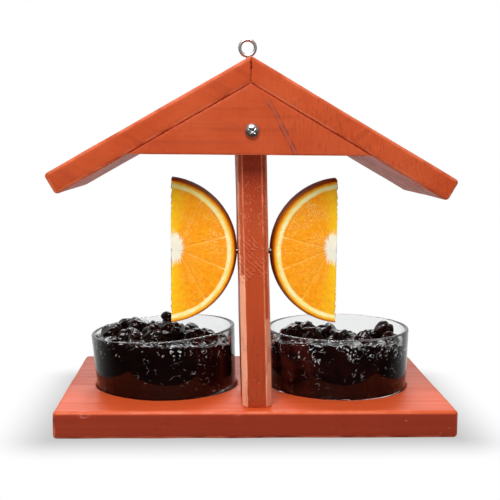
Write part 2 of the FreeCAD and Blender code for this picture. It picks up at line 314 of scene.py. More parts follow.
def turnAbout(bm, degrees, axis, verts=None):
    matrix = Matrix.Rotation(math.radians(degrees), 3, axis)
    bmesh.ops.rotate(bm, cent=(0, 0, 0), matrix=matrix, verts=verts or bm.verts)


def pointOut(bm):
    bmesh.ops.recalc_face_normals(bm, faces=bm.faces)


def lathe(bm, steps):
    # turns the profile once about Z
    bmesh.ops.spin(bm, geom=bm.verts[:] + bm.edges[:], cent=(0, 0, 0), axis=(0, 0, 1), angle=2 * math.pi,
                   steps=steps, use_merge=True)
    bmesh.ops.remove_doubles(bm, verts=bm.verts, dist=1e-4)
    pointOut(bm)


def prism(outline, sweep):
    # a closed solid from the corners of its outline and the way that it is extruded
    bm = bmesh.new()
    face = bm.faces.new([bm.verts.new(corner) for corner in outline])
    swept = bmesh.ops.extrude_face_region(bm, geom=[face])
    moveBy(bm, sweep, [v for v in swept["geom"] if isinstance(v, bmesh.types.BMVert)])
    pointOut(bm)
    return bm


def roundEdges(bm, edges, radius, segments=3):
    bmesh.ops.bevel(bm, geom=edges, offset=radius, offset_type="OFFSET", segments=segments, profile=0.5,
                    affect="EDGES", material=-1, clamp_overlap=True)


def edgeEnds(edges):
    return [(edge.verts[0].co.copy(), edge.verts[1].co.copy()) for edge in edges]


def moveEach(bm, moves):
    for vert, move in zip(bm.verts, moves):
        vert.co += move


def roughen(bm, grain, relief, calmPlaces=(), extra=None):
    # raises and lowers the surface a little, in long low ridges along the grain
    bm.normal_update()
    moves = []
    for vert in bm.verts:
        run = vert.co.dot(grain)
        across = vert.co - grain * run
        ridge = noise.noise(across * 0.75 + grain * run * 0.03) * relief["ridge"]
        swell = noise.noise(vert.co * 0.035) * relief["swell"]
        height = ridge + swell + (extra(vert.co) if extra else 0.0)
        for place in calmPlaces:
            height *= min(1.0, (vert.co - place).length / relief["calmReach"])
        moves.append(vert.normal * height)
    moveEach(bm, moves)


woodRelief = {"ridge": 0.10, "swell": 0.22, "calmReach": 7.0}

# Base board with its two round seats
baseBoard = {
    "edgeRound": 2.3, "grid": 1.7, "wearReach": 2.6, "seatEase": 0.7, "seatSteps": 128,
    # how far the painted light on the top reaches back, and how far below the top and inside the edge the
    # painted shade on the side faces begins
    "litTopReach": 62.0, "litTopBelow": 1.5, "darkBelow": 1.9, "darkInset": 0.9,
    # each chip in the front face: its place across and up, and its reach
    "chipDepth": 0.5,
    "chips": [(-51, 7, 2.4), (-24, 6.5, 2.0), (-19.5, 2.5, 2.6), (-11, 14.6, 1.8), (48, 5, 2.2),
              (44.5, 2.6, 1.8), (-96, 13.5, 5.0)],
}
dishTilts = {"left": 4.0, "right": 0.5}


def dishSpot(side):
    # the foot's middle, with Z along the dish's axis
    turn = Matrix.Rotation(math.radians(-dishTilts[side]), 3, "Y")
    flat = cornersOf("glass_dish_" + side) @ np.array(turn)
    low, high = flat.min(0), flat.max(0)
    foot = turn @ Vector(((low[0] + high[0]) / 2, (low[1] + high[1]) / 2, low[2]))
    return Matrix.Translation(foot) @ turn.to_4x4()


def seatOf(side):
    # the middle and radius of a seat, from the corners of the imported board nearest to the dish
    spot = dishSpot(side).translation
    corners = cornersOf("base_board")
    reach = np.hypot(corners[:, 0] - spot.x, corners[:, 1] - spot.y)
    ring = corners[reach < reach.min() + 4]
    middle = (ring.max(0) + ring.min(0)) / 2
    radius = np.hypot(ring[:, 0] - middle[0], ring[:, 1] - middle[1]).min()
    return Vector((middle[0], middle[1], 0)), radius


def seatCutter(middle, radius, top, ease):
    bm = bmesh.new()
    cover = 5
    profile = [(0, -cover), (radius, -cover), (radius, top - ease), (radius + ease + cover, top + cover),
               (0, top + cover)]
    verts = [bm.verts.new((x, 0, z)) for x, z in profile]
    for pair in zip(verts, verts[1:]):
        bm.edges.new(pair)
    lathe(bm, baseBoard["seatSteps"])
    moveBy(bm, middle)
    return bm


def baseChips(spot):
    # small dents along the front face and its edges
    depth = 0.0
    for x, z, reach in baseBoard["chips"]:
        away = math.hypot(spot.x - x, spot.z - z) / reach
        if spot.y < 0 and away < 1:
            depth -= baseBoard["chipDepth"] * (1 - away ** 2)
    return depth


def makeBaseBoard():
    low, high = boxOf("base_board")
    bm = prism([(low.x, low.y, 0), (high.x, low.y, 0), (high.x, high.y, 0), (low.x, high.y, 0)],
               axisZ * high.z)
    worn = edgeEnds(bm.edges)
    roundEdges(bm, bm.edges[:], baseBoard["edgeRound"], 4)
    makeGrid(bm, baseBoard["grid"], ((axisX, 1), (axisY, 1), (axisZ, 1.3)))
    cutters = [seatCutter(*seatOf(side), high.z, baseBoard["seatEase"]) for side in dishTilts]
    bm = cutAway(bm, cutters)
    nearEdges(bm, "edgeWear", worn, baseBoard["wearReach"])
    # painted shade on the side faces below the top
    dark = bm.verts.layers.float.new("paintedShadeSide")
    # painted light on the top near the front, fading backwards
    litTop = bm.verts.layers.float.new("paintedLightTop")
    for vert in bm.verts:
        fromFront = (vert.co.y - low.y) / baseBoard["litTopReach"]
        onTop = vert.co.z > high.z - baseBoard["litTopBelow"]
        vert[litTop] = min(1.0, max(0.0, 2 - 2 * fromFront)) if onTop else 0.0
        inward = min(vert.co.x - low.x, high.x - vert.co.x, vert.co.y - low.y, high.y - vert.co.y)
        onSide = inward < baseBoard["darkInset"] and vert.co.z < high.z - baseBoard["darkBelow"]
        vert[dark] = 1.0 if onSide else 0.0
    roughen(bm, axisX, woodRelief, extra=baseChips)
    for vert in bm.verts:
        vert.co.z = max(vert.co.z, 0.0)
    finishPiece(bm, "wooden_base", paintedWood("basePaint", gloss=0.27), ["base_board"])


makeBaseBoard()

# Post, with worn chamfers on its front corners that also carry painted light, painted shade at its top and
# foot, and saw marks across its face
post = {
    "width": 17.0, "chamfer": 3.0, "lean": 1.8, "edgeEase": 0.5, "grid": 0.8, "wearReach": 0.9,
    # the left and right chamfer: up to where it shows bare wood with painted light, how strongly, and the
    # share of it that keeps some of this higher up
    "bareTop": {-1: 92.0, 1: 66.0}, "bareShare": {-1: 1.0, 1: 0.55}, "narrowShare": 0.35,
    "narrowWear": 0.7, "wideWear": 0.1,
    # in metres, the top and foot of the saw marks
    "sawTop": 0.1165, "sawFoot": 0.0855, "sawTurn": 0.80, "sawBands": 150.0,
    # the painted shade at the foot and the top, each with the heights in metres where it starts and is full
    "footShade": 0.42, "footFade": (0.085, 0.03), "topShade": 0.75, "topFade": (0.118, 0.150),
    # each split: its place across, foot, top and lean
    "splits": [(5.2, 20.5, 43.5, 4.0), (-7.2, 111.5, 115.5, 2.0)], "splitHalf": 0.9, "splitDepth": 0.55,
}


def sawMarks(coordinates, colour, bump):
    # slanting saw marks halfway up, short flecks above them and fine scratches below, and painted shade at
    # the top and the foot
    height = partsOf(coordinates)["Z"]
    slant = mapped(coordinates, (0, post["sawTurn"], 0))
    bands = {"Vector": slant, "Scale": post["sawBands"], "Distortion": 5.0, "Detail": 3.0,
             "Detail Scale": 3.0}
    marks = addNode(slant.id_data, "TexWave", bands, bands_direction="X").outputs["Fac"]
    top, foot = post["sawTop"], post["sawFoot"]
    inBand = times(remap(height, foot, foot + 0.004), remap(height, top, top - 0.004))
    patches = remap(noiseValue(coordinates, 190, 2), 0.38, 0.55)
    marks = times(marks, inBand, patches)
    steep = mapped(coordinates, (0, 0.35, 0), (1000, 260, 480))
    flecks = noiseValue(steep, 1.0, 2, 0.6)
    above = times(remap(flecks, 0.54, 0.64), remap(height, top - 0.006, top + 0.004),
                  remap(height, 0.152, 0.130, 0.15, 1.0))
    leaning = mapped(coordinates, (0, -0.5, 0), (900, 90, 160))
    scratches = noiseValue(leaning, 1.0, 2)
    below = times(remap(scratches, 0.58, 0.70), remap(height, foot - 0.012, foot - 0.03))
    # painted shade, darker towards the foot and towards the top
    dark = calc("MAXIMUM", remap(height, *post["footFade"], 0, post["footShade"]),
                remap(height, *post["topFade"], 0, post["topShade"]))
    colour = layered(colour, (dark, paint["paintedShade"]), (remap(marks, 0.45, 0.95, 0, 0.42), paint["worn"]),
                     (times(above, 0.60), paint["worn"]), (times(below, 0.14), paint["worn"]))
    bump = bumpFrom(plus(above, below, marks), 0.0005, 0.8, bump)
    return colour, bump


def makePost():
    low, high = boxOf("post")
    slope = math.tan(math.radians(post["lean"]))
    half, cut = post["width"] / 2, post["chamfer"]
    footX = high.x - half
    corners = [(-half, high.y), (half, high.y), (half, low.y + cut), (half - cut, low.y),
               (cut - half, low.y), (-half, low.y + cut)]
    rise = high.z - low.z + 10
    bm = prism([(footX + x, y, low.z) for x, y in corners], Vector((-rise * slope, 0, rise)))
    ridgeX = footX - (high.z - low.z) * slope
    pitch = math.radians(roof["pitch"])
    for side in (-1, 1):
        cutOff(bm, (ridgeX, 0, high.z), (side * math.sin(pitch), 0, math.cos(pitch)))
    pointOut(bm)
    worn = edgeEnds(bm.edges)
    upright = [e for e in bm.edges if abs(e.verts[0].co.z - e.verts[1].co.z) > rise / 2]
    roundEdges(bm, upright, post["edgeEase"], 2)
    makeGrid(bm, post["grid"], ((axisZ, 1), (axisX, 0.8), (axisY, 2)))
    nearEdges(bm, "edgeWear", worn, post["wearReach"])
    bareAndLit = bm.verts.layers.float.new("bareAndLitEdge")
    # bare wood on the chamfers, partly painted light, more on the left one
    for vert in bm.verts:
        across = vert.co.x - footX + (vert.co.z - low.z) * slope
        side = -1 if across < 0 else 1
        inChamfer = cut + 0.1 - (half - abs(across)) - (vert.co.y - low.y)
        edgeZ = post["bareTop"][side] + 3 * noise.noise(Vector((vert.co.z * 0.1, side, 0)))
        if inChamfer > -0.05 and half - abs(across) > 0.05:
            narrow = half - abs(across) < post["narrowShare"] * cut
            share = post["bareShare"][side]
            higherUp = post["narrowWear"] if narrow else post["wideWear"]
            vert[bareAndLit] = share if vert.co.z < edgeZ else share * higherUp

    def splitDepth(spot):
        across = spot.x - footX + (spot.z - low.z) * slope
        depth = 0.0
        for x, foot, top, lean in post["splits"]:
            share = (spot.z - foot) / (top - foot)
            if 0 < share < 1 and spot.y < low.y + cut:
                away = abs(across - x - lean * (share - 0.5)) / post["splitHalf"]
                depth -= post["splitDepth"] * max(0.0, 1 - away) * math.sin(math.pi * share) ** 0.5
        return depth

    roughen(bm, axisZ, woodRelief, extra=splitDepth)
    turn = (0, math.radians(90), 0)
    finishPiece(bm, "wooden_post", paintedWood("postPaint", turn, 3.1, sawMarks), ["post"])


# Gable board and roof boards
roof = {
    "pitch": 30.0, "thick": 12.7, "edgeRound": 2.1, "grid": 1.6, "wearReach": 2.6,
    "seamReach": 0.55, "bradRadius": 1.35, "bradDepth": 0.45, "gloss": 0.13,
    "seeds": {("left", "front"): 1.7, ("left", "rear"): 5.2,
              ("right", "front"): 9.4, ("right", "rear"): 12.9},
}
gable = {
    "edgeEase": 0.7, "grid": 1.3, "wearReach": 0.9, "seamReach": 0.75,
    # in metres, the ends of the scuff beside the screw and half its width
    "streakTop": (0.0040, 0.1880), "streakFoot": (0.0190, 0.1600), "streakHalf": 0.0011,
    "smear": (0.30, 0.075, 0.050, 1), "smearLine": (0.16, 0.025, 0.015, 1),
}


def smearedStreak(coordinates, colour, bump):
    # a dull scuff that runs down the gable board beside the screw, between two dark lines
    topX, topZ = gable["streakTop"]
    footX, footZ = gable["streakFoot"]
    length = math.hypot(footX - topX, footZ - topZ)
    slope = math.atan2(topZ - footZ, footX - topX)
    shifted = mapped(coordinates, shift=(-topX, 0, -topZ))
    along = partsOf(mapped(shifted, (0, -slope, 0)))
    wander = times(minus(noiseValue(coordinates, 90, 3), 0.5), 0.0022)
    across = calc("ABSOLUTE", plus(along["Z"], wander))
    within = times(remap(along["X"], -0.002, 0.003), remap(along["X"], length + 0.003, length - 0.001))
    half = gable["streakHalf"]
    wide = times(remap(across, half * 1.6, half * 0.6), within)
    patchy = remap(noiseValue(coordinates, 260, 4), 0.35, 0.6, 0.25, 0.9)
    edge = remap(calc("ABSOLUTE", minus(across, half)), 0.00045, 0.0001)
    line = times(edge, within, patchy)
    colour = layered(colour, (times(wide, patchy, 0.75), gable["smear"]),
                     (times(line, 0.8), gable["smearLine"]))
    colour, bump = sawnFace(coordinates, colour, bump)
    return colour, bumpFrom(line, 0.0003, 0.5, bump)


def sawnFace(coordinates, colour, bump):
    # fine crossing saw marks, strongest on the right half of the front
    cross = mapped(coordinates, (0, 1.15, 0), (1000, 80, 150))
    weave = noiseValue(cross, 1.0, 3)
    right = partsOf(coordinates)["X"]
    share = remap(right, -0.01, 0.03, 0.10, 0.38)
    colour = mixColours(times(remap(weave, 0.52, 0.66), share), colour, paint["deep"])
    return colour, bumpFrom(times(weave, share), 0.0004, 0.8, bump)


def makeGableBoard():
    low, high = boxOf("gable_board")
    ridgeX = (low.x + high.x) / 2
    bm = prism([(low.x, low.y, low.z), (high.x, low.y, low.z), (ridgeX, low.y, high.z)],
               axisY * (high.y - low.y))
    worn = edgeEnds(bm.edges)
    roundEdges(bm, [e for e in bm.edges if abs(e.verts[0].co.y - e.verts[1].co.y) < 1], gable["edgeEase"], 2)
    makeGrid(bm, gable["grid"], ((axisX, 1), (axisZ, 1), (axisY, 2)))
    slopes = [(start, end) for start, end in worn if max(start.z, end.z) > low.z + 1 and start.y == end.y]
    level = [ends for ends in worn if ends not in slopes]
    nearEdges(bm, "edgeWear", level, gable["wearReach"])
    # painted shade along the sloping edges, where the roof boards meet the gable
    nearEdges(bm, "seamShade", slopes, gable["seamReach"])
    roughen(bm, axisX, woodRelief)
    paintOfGable = paintedWood("gablePaint", seed=7.3, detail=smearedStreak)
    finishPiece(bm, "wooden_gable", paintOfGable, ["gable_board"])


def bradHeads(side, out):
    # the middle of each nail's head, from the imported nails
    corners = cornersOf("roof_brads_" + side)
    rise = corners @ np.array(out)
    heads = []
    for corner in corners[rise > rise.max() - 0.05]:
        near = [head for head in heads if np.linalg.norm(head[0] - corner) < 4]
        if near:
            near[0].append(corner)
        else:
            heads.append([corner])
    return [Vector((np.min(head, axis=0) + np.max(head, axis=0)) / 2) for head in heads]


def bradCutter(head, out):
    bm = bmesh.new()
    bmesh.ops.create_cone(bm, cap_ends=True, segments=20, radius1=roof["bradRadius"] * 0.9,
                          radius2=roof["bradRadius"] * 1.2, depth=3.0)
    moveBy(bm, (0, 0, 1.5 - roof["bradDepth"] / 2))
    bmesh.ops.rotate(bm, cent=(0, 0, 0), matrix=axisZ.rotation_difference(out).to_matrix(), verts=bm.verts)
    moveBy(bm, head)
    return bm


def makeRoofBoard(side, row):
    node = "roof_board_" + side + "_" + row
    low, high = boxOf(node)
    sign = -1 if side == "left" else 1
    pitch = math.radians(roof["pitch"])
    down = Vector((sign * math.cos(pitch), 0, -math.sin(pitch)))
    into = Vector((-sign * math.sin(pitch), 0, -math.cos(pitch)))
    ridge = Vector((low.x if sign > 0 else high.x, low.y, high.z))
    length = (high.x - low.x) / math.cos(pitch)
    underRidge = ridge - axisZ * roof["thick"] / math.cos(pitch)
    eave = ridge + down * length
    bm = prism([ridge, eave, eave + into * roof["thick"], underRidge], axisY * (high.y - low.y))
    worn = edgeEnds(bm.edges)
    outerY, seamY = (low.y, high.y) if row == "front" else (high.y, low.y)
    mitre = [e for e in bm.edges if all(abs(v.co.x - ridge.x) < 1e-3 for v in e.verts)]
    seam = [e for e in bm.edges if all(abs(v.co.y - seamY) < 1e-3 for v in e.verts) and e not in mitre]
    seamEnds = edgeEnds(seam)
    joinEnds = edgeEnds(mitre) + seamEnds
    under = [ends for ends in seamEnds if min((end - ridge).dot(into) for end in ends) > roof["thick"] / 2]
    outer = [e for e in bm.edges if e not in mitre and e not in seam
             and (all(abs(v.co.y - outerY) < 1e-3 for v in e.verts)
                  or all(abs(v.co.x - ridge.x) > length / 2 for v in e.verts))]
    roundEdges(bm, outer, roof["edgeRound"], 4)
    makeGrid(bm, roof["grid"], ((down, 1), (axisY, 1), (into, 1.2)))
    heads = [head for head in bradHeads(side, -into) if low.y < head.y < high.y]
    bm = cutAway(bm, [bradCutter(head, -into) for head in heads])
    nearEdges(bm, "edgeWear", [ends for ends in worn if ends not in joinEnds], roof["wearReach"])
    # painted shade along the mitre and the seam between the boards
    nearEdges(bm, "seamShade", [ends for ends in joinEnds if ends not in under], roof["seamReach"])
    # a painted highlight along the seam on the underside
    nearEdges(bm, "bareAndLitEdge", under, roof["seamReach"])
    roughen(bm, down, woodRelief, heads)
    turn = (0, sign * pitch, 0)
    paintName = side + row.title() + "RoofPaint"
    boardPaint = paintedWood(paintName, turn, roof["seeds"][side, row], sawnFace, roof["gloss"])
    finishPiece(bm, "roof_" + side + "_" + row, boardPaint, [node])


makePost()
makeGableBoard()
for side in ("left", "right"):
    for row in ("front", "rear"):
        makeRoofBoard(side, row)

# Glass dishes
dish = {"height": 39.0, "rimRadius": 44.5, "footRadius": 43.0, "wall": 2.4, "floor": 3.2, "heelRound": 4.0,
        "wellRound": 3.0, "lipRound": 0.95, "steps": 160}


def dishGlass():
    material, tree, shader, coordinates = startMaterial("dishGlass")
    ripple = noiseValue(mapped(coordinates, scale=(1, 1, 0.35)), 55, 2)
    setInputs(shader, {"Base Color": (0.97, 0.985, 0.98, 1), "Roughness": 0.0, "IOR": 1.4,
                       "Transmission Weight": 1.0, "Normal": bumpFrom(ripple, 0.0003, 0.25)})
    clear = addNode(tree, "BsdfTransparent", {"Color": (0.93, 0.95, 0.945, 1)})
    lamps = addNode(tree, "LightPath").outputs["Is Shadow Ray"]
    mix = mixShaders(lamps, shader, clear)
    setInputs(tree.nodes["Material Output"], {"Surface": mix.outputs[0]})
    return material


def outerRadius(z):
    growth = (dish["rimRadius"] - dish["footRadius"]) / dish["height"]
    return dish["footRadius"] + growth * z


def innerRadius(z):
    return outerRadius(z) - dish["wall"]


def makeDish(side, material):
    top, floor = dish["height"], dish["floor"]
    outline = [(0, 0, 0), (outerRadius(0), 0, 0), (outerRadius(top), 0, top), (innerRadius(top), 0, top),
               (innerRadius(floor), 0, floor), (0, 0, floor)]
    bm = bmesh.new()
    verts = [bm.verts.new(corner) for corner in outline]
    face = bm.faces.new(verts)
    for vert, radius in ((verts[1], dish["heelRound"]), (verts[4], dish["wellRound"]),
                         (verts[2], dish["lipRound"]), (verts[3], dish["lipRound"])):
        bmesh.ops.bevel(bm, geom=[vert], offset=radius, offset_type="OFFSET", segments=6, profile=0.5,
                        affect="VERTICES", material=-1)
    onAxis = [e for e in bm.edges if all(abs(v.co.x) < 1e-4 for v in e.verts)]
    bmesh.ops.delete(bm, geom=bm.faces[:], context="FACES_ONLY")
    bmesh.ops.delete(bm, geom=onAxis, context="EDGES")
    lathe(bm, dish["steps"])
    bmesh.ops.transform(bm, matrix=dishSpot(side), verts=bm.verts)
    finishPiece(bm, "dish_" + side, material, ["glass_dish_" + side])


glass = dishGlass()
for side in dishTilts:
    makeDish(side, glass)

# Jelly
jellies = {
    # depth below the rim, slope, the heading of its high side, how rare the bubbles, painted glints and
    # painted highlights are, how red it is, and
    # the middle and radius of each lump
    "left": {"depth": 6.5, "slope": 8.0, "highSide": 215.0, "seed": 2.0, "bubblesAndGlints": 0.54, "reddish": 0.25,
             "lumps": [
        (-31, -2, 4.5, 7.5), (-24, 10, 4.0, 8.0), (-17, 6, 5.5, 8.0), (-20, -12, 1.0, 9.0), (-5, 2, 3.0, 7.5),
        (-4, -13, 1.5, 9.5), (3, -4, 13.0, 3.5), (6, -8, 3.0, 9.0), (15, 8, -1.0, 7.5), (19, -9, -1.5, 8.0),
        (27, 2, -3.0, 7.0)]},
    "right": {"depth": 9.5, "slope": 8.0, "highSide": 262.0, "seed": 9.0, "bubblesAndGlints": 0.475, "reddish": 0.8,
              "lumps": [
        (-29, -2, 5.0, 7.5), (-20, 8, 6.0, 7.0), (-17, -8, 3.0, 8.0), (-7, 1, 4.5, 7.5), (0, -10, 1.5, 8.5),
        (8, 6, -1.0, 6.5), (15, -6, 0.0, 7.5), (22, 3, 1.5, 6.0), (30, 2, 6.0, 6.0), (32, -8, 0.5, 6.5)]},
}
# The jelly reaches a little into the glass, so that no layer of air mirrors the room
jellyMesh = {"gap": -0.25, "voxel": 0.62, "chunk": 11.0, "crease": 1.6, "fold": 1.5, "smoothings": 5,
             "press": 1.3, "pressReach": 1.5, "wallReach": 1.2, "warpSeed": 1}
jellyLook = {
    "dark": (0.0045, 0.0012, 0.0010, 1), "red": (0.085, 0.012, 0.008, 1), "berry": (0.36, 0.022, 0.022, 1),
    "highlightColour": (0.66, 0.65, 0.65, 1), "bubbleAndGlint": (0.75, 0.78, 0.80, 1), "gloss": 0.28,
    # in metres: the heights of the bubbles, painted glints and painted highlights, the red near the post, and
    # the berries at the top
    "bubbleAndGlintFade": (0.030, 0.0525), "postFade": (0.014, 0.045), "berryFade": (0.048, 0.053),
}


def jellyMaterial(name, gloss, bubbleAndGlintRarity, reddish):
    material, tree, shader, coordinates = startMaterial(name)
    place = partsOf(coordinates)
    nearPost = remap(calc("ABSOLUTE", place["X"]), *jellyLook["postFade"], 1, 0)
    cloud = noiseValue(coordinates, 70, 3)
    thin = times(remap(cloud, 0.42, 0.66, 0.0, reddish), plus(nearPost, 0.12))
    skins = remap(noiseValue(coordinates, 160, 2), 0.60, 0.70)
    berry = times(skins, remap(place["Z"], *jellyLook["berryFade"]), plus(nearPost, 0.1))
    drift = addNode(tree, "TexNoise", {"Vector": coordinates, "Scale": 600.0}).outputs["Color"]
    bent = addNode(tree, "VectorMath", {0: coordinates, 1: mapped(drift, scale=(0.0022,) * 3)}).outputs[0]
    cells = addNode(tree, "TexVoronoi", {"Vector": mapped(bent, scale=(1, 1, 0.8)), "Scale": 640.0})
    # pale dots against the glass: air bubbles, and also painted glints
    dots = remap(cells.outputs["Distance"], 0.33, 0.20)
    few = remap(noiseValue(coordinates, 130, 3), bubbleAndGlintRarity, bubbleAndGlintRarity + 0.08)
    onWall = times(attributeValue(tree, "atWall"), remap(place["Z"], *jellyLook["bubbleAndGlintFade"], 0.15, 1.0))
    bubblesAndGlints = times(dots, few, remap(onWall, 0.3, 0.6))
    # painted highlights: short pale streaks on the sides against the glass
    swirl = noiseValue(mapped(coordinates, scale=(1, 1, 1.25)), 95, 3, 1.4)
    crest = remap(calc("ABSOLUTE", minus(swirl, 0.5)), 0.016, 0.004)
    patch = remap(noiseValue(coordinates, 48, 2), bubbleAndGlintRarity - 0.02, bubbleAndGlintRarity + 0.08)
    glints = remap(noiseValue(coordinates, 330, 2), 0.50, 0.60)
    paintedHighlights = times(crest, patch, glints, remap(onWall, 0.02, 0.4))
    colour = layered(jellyLook["dark"], (thin, jellyLook["red"]), (berry, jellyLook["berry"]),
                     (bubblesAndGlints, jellyLook["bubbleAndGlint"]), (paintedHighlights, jellyLook["highlightColour"]))
    folds = noiseValue(coordinates, 150, 2, 1.2)
    setInputs(shader, {"Base Color": colour, "Roughness": 0.05, "Normal": bumpFrom(folds, 0.0016, 0.6),
                       "Specular IOR Level": gloss})
    return material


def smoothOnce(bm):
    bmesh.ops.smooth_vert(bm, verts=bm.verts, factor=0.5, use_axis_x=True, use_axis_y=True, use_axis_z=True)


def makeJelly(side):
    one = jellies[side]
    floor = dish["floor"] + jellyMesh["gap"]
    wallRadius = lambda z: innerRadius(z) - jellyMesh["gap"]
    level = dish["height"] - one["depth"]
    bm = bmesh.new()
    bmesh.ops.create_cone(bm, cap_ends=True, segments=96, radius1=wallRadius(floor),
                          radius2=wallRadius(dish["height"]), depth=dish["height"] - floor)
    moveBy(bm, (0, 0, (dish["height"] + floor) / 2))
    heading, slope = math.radians(one["highSide"]), math.radians(one["slope"])
    up = Vector((-math.cos(heading) * math.sin(slope), -math.sin(heading) * math.sin(slope), math.cos(slope)))
    cutOff(bm, (0, 0, level), up)
    for x, y, z, radius in one["lumps"]:
        ball = bmesh.ops.create_icosphere(bm, subdivisions=4, radius=radius)
        moveBy(bm, (x, y, level + z), ball["verts"])
    pointOut(bm)
    piece = newObject("jelly", bm)
    remesh = piece.modifiers.new("join", "REMESH")
    remesh.mode, remesh.voxel_size = "VOXEL", jellyMesh["voxel"]
    bm = applied(piece)
    for turn in range(jellyMesh["smoothings"]):
        smoothOnce(bm)
    bm.normal_update()
    # without a seed, noise_vector gives other folds on each run
    noise.seed_set(jellyMesh["warpSeed"])
    moves = []
    for vert in bm.verts:
        # large soft chunks with creases between them, laid over slow folds; smooth against the glass
        spot = vert.co / jellyMesh["chunk"] + axisX * one["seed"]
        spot += noise.noise_vector(vert.co * 0.09) * 0.5
        reach = noise.voronoi(spot)[0]
        crease = min(1.0, (reach[1] - reach[0]) * 2.2)
        fold = 1 - abs(noise.noise(vert.co * 0.11 + axisY * one["seed"])) * 2.6
        height = jellyMesh["crease"] * (crease ** 0.6 - 0.7) + jellyMesh["fold"] * (fold - 0.5)
        fromWall = wallRadius(vert.co.z) - math.hypot(vert.co.x, vert.co.y)
        beside = abs(vert.normal.z) < 0.6 and fromWall < jellyMesh["pressReach"]
        moves.append(vert.normal * (jellyMesh["press"] if beside else height))
    moveEach(bm, moves)
    smoothOnce(bm)
    atWall = bm.verts.layers.float.new("atWall")
    for vert in bm.verts:
        reach = math.hypot(vert.co.x, vert.co.y)
        allowed = wallRadius(max(vert.co.z, floor))
        if reach > allowed:
            vert.co.x, vert.co.y = vert.co.x * allowed / reach, vert.co.y * allowed / reach
        vert.co.z = max(vert.co.z, floor)
        vert[atWall] = 1.0 if reach > allowed - jellyMesh["wallReach"] else 0.0
    bm.normal_update()
    for face in bm.faces:
        # the sides lie against the glass and mirror nothing
        if abs(face.normal.z) < 0.5 and all(vert[atWall] for vert in face.verts):
            face.material_index = 1
    bmesh.ops.transform(bm, matrix=dishSpot(side), verts=bm.verts)
    looks = one["bubblesAndGlints"], one["reddish"]
    top = jellyMaterial(side + "Jelly", jellyLook["gloss"], *looks)
    jam = finishPiece(bm, "jam_" + side, top, ["jelly_" + side])
    jam.data.materials.append(jellyMaterial(side + "JellyAtGlass", 0.0, *looks))


for side in jellies:
    makeJelly(side)

# Orange slices
# Places on the cut face run from the fruit's middle: towards the rind along the spike, then up
orange = {
    "ringSteps": 150, "radialStep": 0.75, "rimSteps": 10, "peelThick": 4.1, "hub": (8.2, 1.2),
    "coreMiddle": (6.2, 2.0), "coreReach": (5.0, 8.2), "cornerRound": 1.1,
    # the heading of each membrane, and half its width
    "membranes": [(64.0, 0.03), (15.0, 0.15), (-22.5, 0.15), (-61.0, 0.03)],
    "puff": 0.42, "pore": 0.10, "waver": 0.8, "boreRadius": 1.75, "hollowShare": 0.8,
}
orangeLook = {
    "flesh": (0.97, 0.315, 0.004, 1), "fleshPale": (1.0, 0.41, 0.008, 1), "strandGlint": (1.0, 0.74, 0.36, 1),
    "wedge": (1.0, 0.60, 0.008, 1), "membrane": (1.0, 0.64, 0.16, 1), "pith": (1.0, 0.82, 0.24, 1),
    "pithPale": (1.0, 0.92, 0.46, 1), "core": (0.98, 0.94, 0.78, 1), "zest": (1.0, 0.50, 0.015, 1),
    "zestDeep": (0.80, 0.20, 0.004, 1), "peel": (0.70, 0.19, 0.004, 1), "peelShade": (0.30, 0.060, 0.006, 1),
}


def orangeFlesh(u, w, rim):
    # how far a place lies inside its segment of flesh, below 0 in the pith
    fromHub = Vector((u - orange["hub"][0], w - orange["hub"][1]))
    inside = rim - math.hypot(u, w) - orange["peelThick"]
    for heading, half in orange["membranes"]:
        line = Vector((math.cos(math.radians(heading)), math.sin(math.radians(heading))))
        if fromHub.dot(line) > 0:
            inside = min(inside, abs(fromHub.cross(line)) - half)
    across = ((u - orange["coreMiddle"][0]) / orange["coreReach"][0],
              (w - orange["coreMiddle"][1]) / orange["coreReach"][1])
    return min(inside, (math.hypot(*across) - 1) * orange["coreReach"][0])


